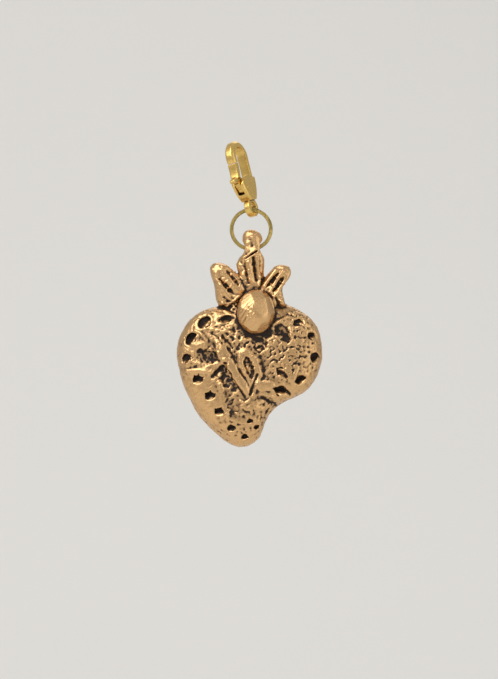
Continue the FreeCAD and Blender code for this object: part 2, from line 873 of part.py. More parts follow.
def make_heart_casting():
    centre = (-size.boss_offset.number, heart_middle.number)
    cushion = pillow(
        "cushion",
        heart_points(HEART_OUTLINE_SHARES, HEART_SIDES),
        centre,
        size.heart_setback,
        size.heart_depth,
        HEART_SECTION_SHARES,
    )
    stem = make_stem()
    left_leaf, left_grooves = make_leaf(
        "left_leaf",
        (-size.left_leaf_offset.number, (size.left_leaf_rise - size.heart_top_drop).number),
        LEFT_LEAF_LEAN,
        size.left_leaf_width,
        size.left_leaf_length,
        LEFT_LEAF_SHARES,
        LEFT_GROOVE_SHARES,
    )
    right_leaf, right_grooves = make_leaf(
        "right_leaf",
        (size.right_leaf_offset.number, (size.right_leaf_rise - size.heart_top_drop).number),
        RIGHT_LEAF_LEAN,
        size.right_leaf_width,
        size.right_leaf_length,
        RIGHT_LEAF_SHARES,
        RIGHT_GROOVE_SHARES,
    )
    doc.recompute()

    # Boss: a smooth egg that stands proud of the cushion's front
    boss_place = (size.boss_offset.number, -(size.heart_top_drop + size.boss_sink).number)
    boss_depth = front_of(cushion, *boss_place) - size.boss_stand.number
    boss = make_boss((boss_place[0], boss_depth, boss_place[1]))

    def on_front(across, up):
        """A point of the cushion's front, at shares of the heart's half width and half height."""
        place = (
            across * size.heart_half_width.number,
            up * size.heart_half_height.number + heart_middle.number,
        )
        return Vector(place[0], front_of(cushion, *place), place[1])

    pits = []
    for number, (across, up, width, turn) in enumerate(PIT_SHARES):
        pits.append(make_pit(f"pit_{number}", on_front(across, up), size.pit_radius * width, turn))

    raised = []
    for number, (depth_share, shares) in enumerate(RAISED_SHARES):
        front = size.heart_setback - size.heart_depth * depth_share - size.raised_height
        back = front + size.relief_thickness
        raised.append(make_relief(f"raised_{number}", shares, RAISED_SIDES, back, RAISED_SECTION_SHARES))
    sunk = []
    for number, (depth_share, shares) in enumerate(SUNK_SHARES):
        floor = size.heart_setback - size.heart_depth * depth_share + size.sunk_depth
        sunk.append(make_relief(f"sunk_{number}", shares, SUNK_SIDES, floor, SUNK_SECTION_SHARES))

    lump = doc.addObject("Part::MultiFuse", "lump")
    lump.Shapes = [cushion, stem, left_leaf, right_leaf, boss, *raised]
    hollows = doc.addObject("Part::MultiFuse", "hollows")
    hollows.Shapes = [*pits, *sunk, *left_grooves, *right_grooves, make_bail_hole()]
    casting = doc.addObject("Part::Cut", "heart_casting")
    casting.Label = "heart_casting"
    casting.Base = lump
    casting.Tool = hollows
    casting.Placement = Placement(bail_point, Rotation())
    return casting


parts = [
    make_clasp_body(),
    make_clasp_lever(),
    make_clasp_pin(),
    make_clasp_spring(),
    make_jump_ring(),
    make_heart_casting(),
]
doc.recompute()

# Nothing is written unless every object is sound
for thing in doc.Objects:
    if {"Invalid", "Error"} & set(thing.State):
        raise RuntimeError(f"{thing.Label} failed: {thing.State}")
for part in parts:
    if part.Shape.isNull() or not part.Shape.isValid():
        raise RuntimeError(f"{part.Label} has no sound shape")

os.makedirs("parts", exist_ok=True)
for part in parts:
    part.Shape.exportStep(f"parts/{part.Label}.step")
    print(part.Label, "solids", len(part.Shape.Solids), "volume", round(part.Shape.Volume, 3))
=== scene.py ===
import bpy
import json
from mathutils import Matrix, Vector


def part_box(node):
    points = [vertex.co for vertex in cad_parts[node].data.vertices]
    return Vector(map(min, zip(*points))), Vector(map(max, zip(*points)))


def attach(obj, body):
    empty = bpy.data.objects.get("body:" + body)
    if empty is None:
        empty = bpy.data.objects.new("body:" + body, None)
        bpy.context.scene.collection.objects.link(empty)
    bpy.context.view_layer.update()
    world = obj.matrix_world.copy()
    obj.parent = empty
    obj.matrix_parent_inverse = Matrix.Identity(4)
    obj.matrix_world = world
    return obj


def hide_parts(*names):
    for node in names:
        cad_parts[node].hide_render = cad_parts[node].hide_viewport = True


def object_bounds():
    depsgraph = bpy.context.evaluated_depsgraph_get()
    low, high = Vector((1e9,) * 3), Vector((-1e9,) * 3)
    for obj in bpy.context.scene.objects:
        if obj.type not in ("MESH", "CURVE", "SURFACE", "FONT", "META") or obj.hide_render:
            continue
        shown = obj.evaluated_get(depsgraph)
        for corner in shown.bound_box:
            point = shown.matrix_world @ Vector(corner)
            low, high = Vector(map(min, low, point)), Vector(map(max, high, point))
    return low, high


bl_info = {
    "name": "Heart charm",
    "version": (1, 0, 0),
    "blender": (4, 5, 0),
    "location": "3D View > Sidebar > Charm",
    "description": "Dresses a packed heart charm: cast bronze heart, brass jump ring and lobster-claw clasp",
    "category": "Object",
}

import json
import math

import bmesh
import bpy
import numpy as np
from bpy.props import FloatProperty, FloatVectorProperty, IntProperty, PointerProperty
from bpy.types import Operator, Panel, PropertyGroup
from mathutils import Matrix, Vector, noise

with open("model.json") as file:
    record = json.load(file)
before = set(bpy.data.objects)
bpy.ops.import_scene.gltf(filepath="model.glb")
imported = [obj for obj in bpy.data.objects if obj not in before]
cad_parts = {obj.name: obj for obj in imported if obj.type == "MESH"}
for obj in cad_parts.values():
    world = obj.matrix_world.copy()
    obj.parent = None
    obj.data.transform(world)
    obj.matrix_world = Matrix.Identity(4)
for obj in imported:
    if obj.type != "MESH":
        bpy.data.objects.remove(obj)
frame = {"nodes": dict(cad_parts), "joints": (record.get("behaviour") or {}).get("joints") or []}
cad_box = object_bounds()

MM = 0.001

# The photograph: its size in pixels, and the pixel at which the frame's origin lies
PHOTO_WIDTH = 498
PHOTO_HEIGHT = 679
PIXELS_PER_MM = 5.2
ORIGIN_PX = 236.8
ORIGIN_PY = 157.74

# Pits of the heart's rim: centre in photograph pixels, half width and half height in millimetres,
# how far the deep side is turned to the right of straight up in degrees, and depth in millimetres
PITS = [
    (205.2, 323.5, 1.35, 1.15, -30, 0.50),
    (191.8, 340.0, 1.25, 1.00, -48, 0.50),
    (186.8, 360.4, 1.10, 0.90, -30, 0.42),
    (198.1, 380.6, 0.95, 0.90, -10, 0.35),
    (210.3, 396.8, 0.90, 0.85, -10, 0.35),
    (219.5, 412.4, 0.90, 0.80, -5, 0.35),
    (231.6, 428.8, 0.80, 0.70, 0, 0.30),
    (245.0, 438.0, 0.70, 0.62, 5, 0.30),
    (250.2, 421.6, 0.62, 0.50, -10, 0.30),
    (257.0, 427.6, 0.60, 0.50, -10, 0.30),
    (282.0, 391.8, 1.70, 0.80, 20, 0.35),
    (300.6, 380.8, 1.25, 0.85, -20, 0.35),
    (315.6, 358.4, 0.95, 1.05, 0, 0.35),
    (311.6, 337.4, 0.90, 0.90, 0, 0.35),
    (299.0, 323.7, 0.95, 0.90, 0, 0.35),
    (226.2, 320.0, 1.60, 0.80, -10, 0.35),
    (282.0, 374.6, 1.15, 0.62, 38, 0.42),
    (185.8, 338.0, 0.32, 0.30, 0, 0.22),
    (259.8, 348.0, 0.62, 0.60, 0, 0.30),
]

# Shape of every pit: its soft edge and its lip in shares of the pit's radius, the lip's height and the
# fill of the ramp and of the deep side in shares of the pit's depth
PIT_EDGE = (0.82, 1.12)
PIT_LIP_RADIUS = 1.3
PIT_LIP_SPREAD = 0.22
PIT_LIP_HEIGHT = 0.12
PIT_RAMP_FILL = 0.75
PIT_DEEP_CUT = 1.25

# How far a stroke is felt from its line, in widths of the stroke
STROKE_REACH = 3.2

# Raised and cut strokes of the relief: points in photograph pixels, half width in millimetres at the
# start and at the end, and height in millimetres, negative where the stroke is cut
HEART_STROKES = [
    # Ramps inside the three pits at the upper left
    ([(205.4, 327.6), (210.2, 321.0)], 0.52, 0.46, 0.42),
    ([(193.0, 343.6), (196.4, 337.2)], 0.44, 0.38, 0.36),
    ([(187.6, 365.0), (190.2, 360.4)], 0.36, 0.32, 0.28),
    # Long leaf from the upper left to the middle: crest, beaded upper edge and the cut along its left side
    ([(219.5, 342), (223, 356), (229.5, 367), (238, 380), (249, 394.5)], 0.55, 0.50, 0.14),
    ([(216.8, 343), (217.4, 349)], 0.30, 0.26, 0.22),
    ([(218.0, 352), (219.6, 358)], 0.28, 0.24, 0.18),
    ([(224.0, 363), (228.5, 373), (236.0, 384.5), (244.5, 396)], 0.30, 0.24, -0.36),
    # Tongue round a rough hollow, and the channel down its right side
    ([(240.5, 352), (247, 350.5), (254, 357.5), (258.5, 368), (260, 375)], 0.48, 0.40, 0.16),
    ([(240, 354), (240.5, 363), (244, 372.5)], 0.45, 0.38, 0.14),
    ([(245.5, 360), (247.8, 367), (250.6, 373.5)], 0.42, 0.44, 0.22),
    ([(231.5, 350), (233.5, 358), (238, 367)], 0.42, 0.36, 0.20),
    ([(257.4, 374.5), (253.8, 383.5), (250.2, 394.5)], 0.32, 0.30, -0.38),
    ([(258.5, 381), (254.5, 389), (252, 396)], 0.40, 0.30, 0.16),
    # Swelling band to the right lobe, with its brow over the notch
    ([(258, 384.5), (268, 384), (276, 387)], 0.90, 0.80, 0.16),
    ([(262, 393), (270, 395.5), (278, 400.5)], 0.42, 0.30, 0.18),
    ([(262, 397.5), (270, 401.5), (280, 408)], 0.40, 0.42, -0.34),
    # Hollow beside the leaf, with its torn left edge
    ([(212.5, 376.2), (219.5, 369.6), (226, 363)], 0.34, 0.32, -0.42),
    ([(214, 379.5), (221, 374.6)], 0.22, 0.18, 0.20),
    ([(223, 371), (229, 378), (234, 388)], 0.70, 0.60, -0.20),
    # Shadowed bowl below the boss, the lump at its left and the ridge at its right
    ([(251, 337.5), (262, 338.5), (272, 333)], 0.90, 0.80, -0.34),
    ([(238.6, 342.5), (243, 340), (249.5, 338.5)], 0.50, 0.40, 0.28),
    ([(256, 352.6), (260.4, 353.8), (263.6, 350.4)], 0.20, 0.18, 0.18),
    ([(274.5, 324.6), (280, 321), (287.2, 316.8)], 0.30, 0.20, 0.34),
    ([(276.5, 330.5), (283, 333.5), (287, 340)], 0.62, 0.50, -0.22),
    ([(284.4, 321.5), (289.5, 329), (293.5, 340)], 0.62, 0.55, 0.22),
    # Rough hollow of the left lobe, and the ridges round it
    ([(200.5, 352), (207, 357.5), (215, 360)], 0.95, 0.80, -0.24),
    ([(195.5, 330.6), (201.4, 333.8), (206.4, 340.4)], 0.28, 0.20, 0.28),
    ([(203, 343.5), (198, 347)], 0.60, 0.50, 0.14),
    ([(212, 333.5), (217.5, 337), (222, 343)], 0.24, 0.20, -0.24),
    ([(212, 328.5), (217, 330.5), (224, 331)], 0.36, 0.30, 0.20),
    ([(226, 330.5), (231, 333.5), (235.5, 338)], 0.30, 0.26, 0.26),
    ([(222, 336.5), (227.5, 341), (232.5, 347.5)], 0.26, 0.22, -0.28),
    ([(229, 349), (233, 356), (235.4, 363)], 0.28, 0.24, -0.22),
    # Torn upper rims of the lower left pits
    ([(195.8, 377.6), (194.2, 375.4)], 0.24, 0.14, -0.34),
    ([(198.4, 376.4), (198.8, 373.8)], 0.20, 0.12, -0.30),
    ([(201.6, 378.4), (203.6, 377)], 0.22, 0.12, -0.30),
    ([(207.4, 394.2), (205.4, 393.2)], 0.22, 0.12, -0.32),
    ([(210.2, 392.6), (210.6, 390.4)], 0.20, 0.12, -0.30),
    ([(213.8, 395), (215.4, 393.4)], 0.22, 0.12, -0.28),
    ([(216.6, 410.2), (215, 408.6)], 0.22, 0.12, -0.30),
    ([(220.4, 408.4), (221.8, 406.6)], 0.20, 0.12, -0.28),
    ([(201.4, 318.6), (205.6, 316.6), (210.4, 319.4)], 0.28, 0.20, -0.34),
    ([(188.4, 336.4), (191.4, 333.8), (195.6, 334.8)], 0.26, 0.20, -0.34),
    ([(183.6, 355.6), (188.6, 354.4), (191.8, 357.6)], 0.26, 0.20, -0.28),
    ([(273, 388.4), (281, 389.6), (289.8, 394.6)], 0.34, 0.24, -0.30),
    # Smooth band down the lower left, a step above the middle
    ([(187, 371), (199, 370), (210.5, 372.4)], 0.34, 0.30, 0.18),
    ([(191, 366.0), (203, 364.6), (212, 366.6)], 0.60, 0.50, -0.08),
    ([(221, 384), (221.6, 398), (225.4, 411), (229, 419)], 0.52, 0.50, 0.18),
    ([(228.4, 389), (229.0, 400), (233.6, 412)], 0.90, 0.85, -0.16),
    # Crescents and chips of the tip
    ([(240.6, 400.5), (245.6, 402.6), (250.4, 398.6)], 0.22, 0.16, 0.18),
    ([(236.4, 412.6), (240.6, 414.8), (245.2, 413)], 0.22, 0.16, 0.16),
    ([(247, 410), (255, 407.5), (262, 409)], 0.60, 0.50, 0.16),
    ([(271.2, 413.6), (276.6, 408.4)], 0.26, 0.22, 0.26),
    ([(254.8, 431.4), (259.6, 427.4)], 0.24, 0.20, 0.22),
    ([(222.6, 418), (226.8, 414.4), (228.6, 409.6)], 0.40, 0.30, 0.20),
]

CROWN_STROKES = [
    # Left leaf: broad rib, grooves at both sides, rims and the plate at its tip
    ([(221.5, 270.5), (229, 279.8), (238.6, 291)], 0.36, 0.46, 0.20),
    ([(222.4, 278.6), (227.4, 287), (234.6, 297)], 0.30, 0.32, 0.10),
    ([(226.4, 268.6), (232.6, 276.6), (239.4, 286)], 0.26, 0.34, 0.10),
    ([(225.8, 265.8), (233.6, 271.6), (242, 278.6)], 0.22, 0.24, 0.24),
    ([(218.6, 277), (221.6, 286.6), (229.4, 297)], 0.26, 0.26, 0.20),
    ([(215.4, 264.8), (221.6, 267.4)], 0.42, 0.40, 0.16),
    ([(220.8, 267.2), (221.4, 268)], 0.20, 0.20, -0.16),
    ([(231.6, 271.6), (238.4, 279.4)], 0.14, 0.16, -0.16),
    # Right leaf: two ribs, a deep groove between them and a wide one at the right
    ([(275.6, 270.4), (269.6, 278.4), (264.2, 286.6)], 0.34, 0.30, 0.24),
    ([(282.8, 270.6), (277.2, 279.6), (269.2, 292.4)], 0.22, 0.24, 0.34),
    ([(278.6, 272), (272.4, 280.6), (266.6, 289.6)], 0.26, 0.34, 0.06),
    ([(284.4, 274.4), (279.4, 283), (273.4, 293)], 0.34, 0.40, 0.10),
    # Small ridges that cross the grooves of both leaves
    ([(223.6, 283.4), (227.6, 281.0)], 0.16, 0.16, 0.26),
    ([(226.6, 289.6), (231.4, 286.4)], 0.18, 0.16, 0.26),
    ([(230.6, 275.2), (234.4, 272.6)], 0.16, 0.14, 0.24),
    ([(234.0, 281.0), (238.4, 278.2)], 0.16, 0.16, 0.26),
    ([(275.0, 276.4), (278.4, 279.2)], 0.16, 0.14, 0.22),
    ([(279.6, 281.0), (283.4, 284.0)], 0.16, 0.14, 0.24),
    ([(270.8, 284.2), (274.4, 287.4)], 0.16, 0.14, 0.22),
    ([(288.4, 268.8), (288.4, 276), (282, 288)], 0.30, 0.26, 0.18),
    ([(274.2, 267.8), (281.4, 266.4), (288, 267.2)], 0.26, 0.24, 0.16),
    ([(274.4, 296.4), (278.8, 291)], 0.22, 0.20, 0.28),
    # Stem: shadowed saddle under the cap, plateau, and the fold with its channel and two small holes
    ([(250.6, 240.4), (252.6, 245.6)], 0.45, 0.50, -0.20),
    ([(245.6, 243.6), (249.6, 242)], 0.30, 0.26, 0.14),
    ([(243.4, 258.2), (250.4, 253.4), (256.6, 249.6)], 0.20, 0.18, 0.24),
    ([(245.6, 260.2), (252.4, 256), (258.4, 252.4)], 0.20, 0.18, 0.24),
    ([(245, 259.2), (251.4, 254.8), (257.2, 251)], 0.15, 0.13, -0.22),
    ([(251.0, 254.8), (252.4, 253.9)], 0.18, 0.18, -0.30),
    ([(255.4, 252.1), (256.4, 251.3)], 0.22, 0.22, -0.34),
    # Below the fold: lumpy ridge, deep groove, lit edge and the smooth side band
    ([(248.8, 261.6), (249.4, 270), (250.6, 281)], 0.46, 0.42, 0.26),
    ([(244.4, 264), (246.2, 274), (248.4, 283)], 0.26, 0.28, -0.26),
    ([(253.6, 258.6), (254.6, 268), (256.4, 280)], 0.28, 0.30, -0.50),
    ([(257.4, 257), (257.8, 268), (259.4, 277.4)], 0.30, 0.26, 0.24),
    ([(259.8, 277), (258.8, 285.6)], 0.22, 0.22, 0.26),
    ([(261.8, 250), (262.4, 262), (261.4, 271)], 0.50, 0.40, 0.12),
    ([(235.6, 264.4), (239.4, 270), (244.4, 277)], 0.40, 0.34, 0.18),
    ([(240.4, 262), (244, 267.4)], 0.26, 0.22, -0.20),
    # Roots of the crown: short crossing ridges between the leaves, the boss and the heart's shoulders
    ([(227.4, 306.4), (233, 301.6), (239, 296.6)], 0.22, 0.20, 0.26),
    ([(231, 309.4), (236.6, 304.4)], 0.20, 0.18, 0.24),
    ([(229.6, 301.4), (236.2, 306.4)], 0.20, 0.18, -0.28),
    ([(221.4, 303.6), (228, 303)], 0.30, 0.24, 0.20),
    ([(218.4, 307.4), (226.4, 308.4), (233.4, 312.6)], 0.26, 0.22, -0.24),
    ([(224, 297), (228.4, 301.4)], 0.24, 0.20, -0.26),
    ([(280.6, 300.6), (283.6, 305.4)], 0.28, 0.24, 0.30),
    ([(276.4, 299.4), (277.6, 306.6)], 0.34, 0.30, -0.30),
    ([(286, 305), (291.6, 308.6)], 0.30, 0.24, 0.20),
    ([(271, 293), (273.6, 297.6)], 0.26, 0.22, 0.24),
]

# Brush marks across the left of the boss, and the short ones that cross them
BOSS_STROKES = [
    ([(240.4, 317.0), (247.6, 306.8)], 0.20, 0.16, -0.13),
    ([(242.6, 320.4), (250.6, 309.4)], 0.22, 0.16, -0.14),
    ([(245.6, 323.4), (253.0, 312.6)], 0.20, 0.16, -0.13),
    ([(241.2, 311.8), (245.8, 304.6)], 0.18, 0.14, -0.12),
    ([(249.4, 325.6), (255.0, 316.4)], 0.20, 0.14, -0.12),
    ([(244.0, 312.4), (249.8, 316.8)], 0.16, 0.14, -0.10),
    ([(246.6, 307.8), (252.6, 311.8)], 0.16, 0.14, -0.10),
    ([(253.6, 327.6), (258.0, 321.0)], 0.16, 0.14, -0.09),
]

# Soft edge of a patch, in shares of its half sizes
PATCH_EDGE = (0.6, 1.25)

# Patches of the front: centre, half width and half height in photograph pixels, and how strong the
# patch is
CRUMBLED = [
    (208, 356, 11, 10, 1.0),
    (226, 379, 9, 13, 0.9),
    (201, 364, 13, 4, 0.7),
    (230, 398, 6, 10, 0.5),
    (249, 368, 6, 10, 1.2),
    (233, 354, 5, 10, 0.9),
    (228, 334, 15, 12, 0.9),
    (243, 342, 8, 7, 1.0),
    (262, 345, 12, 8, 0.6),
    (229, 305, 13, 7, 0.9),
    (281, 300, 9, 8, 0.8),
    (248, 272, 9, 14, 0.7),
    (224, 283, 9, 15, 0.45),
    (206, 312, 16, 6, 0.5),
]
PITTED = [
    (290, 350, 26, 26, 1.0),
    (298, 322, 18, 14, 0.8),
    (262, 352, 14, 12, 0.7),
    (262, 410, 22, 16, 0.55),
    (240, 425, 14, 14, 0.5),
    (280, 375, 16, 12, 0.8),
]
BRUSHED = [
    (200, 388, 16, 22, 1.0),
    (214, 408, 12, 14, 0.9),
    (268, 386, 16, 8, 0.8),
    (236, 366, 8, 14, 0.4),
    (206, 309, 18, 7, 0.4),
]

# Boss in the photograph: centre and half sizes of its oval in pixels, the oval's soft edge in shares
# of them, the depth in front of which the boss stands in millimetres, and the pixels across between
# which its brushing fades out
BOSS_CENTRE_PX = (255.5, 312.5)
BOSS_HALVES_PX = (19.5, 23.0)
BOSS_EDGE = (0.94, 1.04)
BOSS_FRONT_Y = -3.3
BOSS_BRUSHED_TO_PX = (263, 250)

# Boss as a solid: its middle and half sizes in millimetres, how much of what stands out is pressed back,
# then its rubbed facets: the way each faces and how deep it is cut
BOSS_PRESSED = 0.92
BOSS_MIDDLE = (3.60, -2.65, -29.73)
BOSS_HALVES = (3.65, 3.30, 4.35)
BOSS_FACETS = [
    ((0.06, -0.76, 0.62), 0.36),
    ((-0.44, -0.78, 0.44), 0.36),
    ((0.28, -0.92, 0.26), 0.34),
    ((0.82, -0.50, 0.26), 0.34),
    ((-0.70, -0.62, -0.20), 0.22),
    ((-0.10, -0.86, -0.48), 0.24),
    ((0.42, -0.62, -0.64), 0.28),
]

# How squarely a place has to face the front, from none to all, to be worked, and to have full grain
WORKED_FACING = (-0.05, 0.35)
GRAINED_FACING = (-0.5, 0.2)
RUBBED_FACING = (-0.2, 0.6)
BACK_GRAIN = 0.35

# Lengths of the waves of the surface's unevenness in millimetres
SWELL_WAVE = 4.2
CRUMB_WAVE = 1.15
PORE_WAVE = 0.62
BRUSH_WAVE = 0.80
BOSS_BRUSH_WAVE = 0.6
CLASP_WAVE = 1.6
CLASP_UNEVENNESS = 0.012

# Stretch of the noise that makes brush marks, on the smooth band and on the boss
BAND_BRUSHING = np.array([[0.25, 0, -1.5], [0, 1, 0], [0.10, 0, 1.6]])
BOSS_BRUSHING = np.array([[1.1, 0, 0], [0, 1, 0], [-1.3, 0, 0.25]])

# Hollows at three sizes: passes of softening, depth that counts as full in millimetres, and weight
HOLLOW_SIZES = [(6, 0.035, 0.50), (24, 0.10, 0.45), (110, 0.42, 0.50)]

# Jump ring: the gap of its cut and the rounding of the cut's edges in millimetres, how far the cut lies
# from the top in degrees, and the facets round the wire and along the ring
RING_CUT = 0.2
RING_CUT_ROUNDING = 0.05
RING_CUT_ANGLE = 18.0
WIRE_FACETS = 28
RING_FACETS = 176

# Roughness of the brass pieces, how metallic the ring is, and the grid of the pin beside the clasp's
CLASP_ROUGHNESS = 0.20
PIN_ROUGHNESS = 0.22
RING_ROUGHNESS = 0.16
RING_METAL = 0.7
PIN_GRID_SHARE = 0.7

# Warmer clouds in the bronze's open surfaces
WARM_FIELD = (0.38, 0.225, 0.108)

# Floor that sweeps up to the backdrop, in metres: its width, its front edge and the radius of the bend
SWEEP_WIDTH = 3.0
SWEEP_FRONT = -1.6
SWEEP_BEND = 0.35
BEND_STEPS = 12

# Lamps: a large key from the upper left, a weak fill from the right and one behind for the rims, each
# with its size and its place from the middle of the charm in metres
LAMPS = [
    ("key", (0.70, 0.70), (-0.34, -0.42, 0.46)),
    ("fill", (0.5, 0.9), (0.6, -0.35, 0.05)),
    ("back", (0.6, 0.4), (0.1, 0.55, 0.55)),
]


class CharmRelief(PropertyGroup):
    """How the cast heart's surface is worked."""

    heart_voxel: FloatProperty(
        name="Heart grid",
        description="Edge of the heart's surface grid",
        default=0.16 * MM,
        unit="LENGTH",
    )
    metal_voxel: FloatProperty(
        name="Findings grid",
        description="Edge of the clasp's surface grid",
        default=0.075 * MM,
        unit="LENGTH",
    )
    heart_softening: IntProperty(
        name="Wax softening",
        description="Passes that soften the heart before it is worked",
        default=9,
    )
    clasp_softening: IntProperty(
        name="Clasp softening",
        description="Passes that round the clasp's edges",
        default=4,
    )
    pit_depth: FloatProperty(
        name="Pit depth",
        description="Share of each pit's own depth",
        default=1.0,
    )
    stroke_height: FloatProperty(
        name="Stroke height",
        description="Share of each stroke's own height",
        default=1.0,
    )
    grain_height: FloatProperty(
        name="Grain height",
        description="Height of the casting's fine grain",
        default=0.12 * MM,
        unit="LENGTH",
    )
    swell_height: FloatProperty(
        name="Swell height",
        description="Height of the slow unevenness of the wax",
        default=0.16 * MM,
        unit="LENGTH",
    )


class CharmFinish(PropertyGroup):
    """Colours of the metals."""

    bronze_high: FloatVectorProperty(
        name="Rubbed bronze",
        description="Bronze where it is rubbed bright",
        subtype="COLOR",
        default=(0.63, 0.39, 0.18),
    )
    bronze_field: FloatVectorProperty(
        name="Bronze",
        description="Bronze of the open surfaces",
        subtype="COLOR",
        default=(0.29, 0.165, 0.075),
    )
    bronze_hollow: FloatVectorProperty(
        name="Patina",
        description="Dark patina of the hollows",
        subtype="COLOR",
        default=(0.020, 0.012, 0.008),
    )
    brass: FloatVectorProperty(
        name="Clasp brass",
        description="Worn brass of the clasp",
        subtype="COLOR",
        default=(0.74, 0.50, 0.15),
    )
    # Painted shade: a dark colour laid into the clasp's corners, where shade falls
    brass_shade: FloatVectorProperty(
        name="Clasp tarnish",
        description="Tarnish in the clasp's corners",
        subtype="COLOR",
        default=(0.10, 0.055, 0.02),
    )
    ring_brass: FloatVectorProperty(
        name="Ring brass",
        description="Bright brass of the jump ring",
        subtype="COLOR",
        default=(1.0, 0.73, 0.22),
    )
    steel: FloatVectorProperty(
        name="Spring steel",
        description="Spring steel",
        subtype="COLOR",
        default=(0.45, 0.45, 0.46),
    )


class CharmStage(PropertyGroup):
    """Floor, lamps and camera."""

    floor_colour: FloatVectorProperty(
        name="Floor",
        description="Pale floor and backdrop",
        subtype="COLOR",
        default=(0.80, 0.79, 0.77),
    )
    floor_drop: FloatProperty(
        name="Floor drop",
        description="Floor below the charm's lowest point",
        default=170 * MM,
        unit="LENGTH",
    )
    backdrop_distance: FloatProperty(
        name="Backdrop distance",
        description="Backdrop behind the charm",
        default=0.9,
        unit="LENGTH",
    )
    camera_distance: FloatProperty(
        name="Camera distance",
        description="Camera in front of the charm",
        default=0.45,
        unit="LENGTH",
    )
    world_level: FloatProperty(
        name="World level",
        description="Strength of the room's even light",
        default=0.60,
    )
    key_power: FloatProperty(
        name="Key lamp",
        description="Power of the upper left lamp",
        default=4.4,
        unit="POWER",
    )
    fill_power: FloatProperty(
        name="Fill lamp",
        description="Power of the right lamp",
        default=1.2,
        unit="POWER",
    )
    back_power: FloatProperty(
        name="Back lamp",
        description="Power of the lamp behind",
        default=0.8,
        unit="POWER",
    )


def smoothstep(low, high, value):
    """0 below low, 1 above high and a soft rise between them; low may be the larger, for a fall."""
    share = np.clip((value - low) / (high - low), 0, 1)
    return share * share * (3 - 2 * share)


class Surface:
    """A node's merged copy on an even grid, in millimetres, whose points can be moved together."""

    def __init__(self, node, name, voxel):
        mesh = frame["nodes"][node].data.copy()
        mesh.name = name
        mesh.materials.clear()
        merged = bmesh.new()
        merged.from_mesh(mesh)
        bmesh.ops.remove_doubles(merged, verts=merged.verts, dist=1e-7)
        bmesh.ops.scale(merged, vec=Vector((1, 1, 1)) / MM, verts=merged.verts)
        merged.to_mesh(mesh)
        merged.free()
        self.object = bpy.data.objects.new(name, mesh)
        bpy.context.scene.collection.objects.link(self.object)
        grid = self.object.modifiers.new("even_grid", "REMESH")
        grid.mode = "VOXEL"
        grid.voxel_size = voxel / MM
        graph = bpy.context.evaluated_depsgraph_get()
        even = bpy.data.meshes.new_from_object(self.object.evaluated_get(graph))
        self.object.modifiers.clear()
        self.object.data = even
        even.name = name
        self.mesh = even
        count = len(even.vertices)
        self.points = np.empty(count * 3)
        even.vertices.foreach_get("co", self.points)
        self.points = self.points.reshape(-1, 3)
        self.edges = np.empty(len(even.edges) * 2, np.int32)
        even.edges.foreach_get("vertices", self.edges)
        self.edges = self.edges.reshape(-1, 2)
        self.links = np.bincount(self.edges.ravel(), minlength=count)

    def averaged(self, values, passes, share=1.0):
        """Values after each point takes on its neighbours' mean, a number of times."""
        first, second = self.edges.T
        values = values.astype(float).copy()
        flat = values.ndim == 1
        columns = values[:, None] if flat else values
        for _ in range(passes):
            for column in range(columns.shape[1]):
                line = columns[:, column]
                total = np.bincount(first, line[second], len(line))
                total = total + np.bincount(second, line[first], len(line))
                columns[:, column] = line + (total / self.links - line) * share
        return columns[:, 0] if flat else columns

    def soften(self, passes):
        """Smooths the points without shrinking the whole: each pass in is followed by a smaller one out."""
        for _ in range(passes):
            self.points = self.averaged(self.points, 1, 0.6)
            self.points = self.averaged(self.points, 1, -0.42)
        self.store()

    def store(self):
        self.mesh.vertices.foreach_set("co", self.points.ravel())
        self.mesh.update()

    def normals(self):
        found = np.empty(len(self.points) * 3)
        self.mesh.vertices.foreach_get("normal", found)
        return found.reshape(-1, 3)

    def push(self, heights):
        """Moves each point out along its normal by its height in millimetres."""
        self.points = self.points + self.normals() * heights[:, None]
        self.store()

    def hollowness(self, passes, reach):
        """How far each point lies below its softened surroundings, 1 at the reach in millimetres."""
        base = self.averaged(self.points, passes)
        depth = np.einsum("ij,ij->i", base - self.points, self.normals())
        return np.clip(depth / reach, -1, 1)

    def write(self, name, values):
        """Stores one value per point for the material."""
        layer = self.mesh.attributes.new(name, "FLOAT", "POINT")
        layer.data.foreach_set("value", values.astype(np.float32))

    def finish(self, body, slot, material, nodes):
        """Back to metres, shaded smooth, riding on its body in place of its nodes."""
        self.points = self.points * MM
        self.store()
        self.mesh.materials.clear()
        self.mesh.materials.append(material)
        self.mesh.shade_smooth()
        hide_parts(*nodes)
        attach(self.object, body)


def noise_values(points, scale, octaves=1, seed=(0.0, 0.0, 0.0)):
    """Fractal noise between about -1 and 1 at each point, whose waves are scale millimetres long."""
    shift = Vector(seed)
    if octaves == 1:
        return np.array([noise.noise(Vector(point) / scale + shift) for point in points])
    return np.array([noise.fractal(Vector(point) / scale + shift, 0.9, 2.1, octaves) for point in points])


def photo_places(points):
    """Each point's pixel across and down in the photograph."""
    return ORIGIN_PX + PIXELS_PER_MM * points[:, 0], ORIGIN_PY - PIXELS_PER_MM * points[:, 2]


def smooth_line(points, steps=8):
    """Points along the smooth curve through the given ones."""
    given = [np.array(point, float) for point in points]
    ends = [given[0] * 2 - given[1], *given, given[-1] * 2 - given[-2]]
    line = []
    for before, start, end, after in zip(ends, ends[1:], ends[2:], ends[3:]):
        for step in range(steps):
            t = step / steps
            line.append(
                0.5
                * (
                    2 * start
                    + (end - before) * t
                    + (2 * before - 5 * start + 4 * end - after) * t**2
                    + (3 * start - before - 3 * end + after) * t**3
                )
            )
    line.append(given[-1])
    return np.array(line)


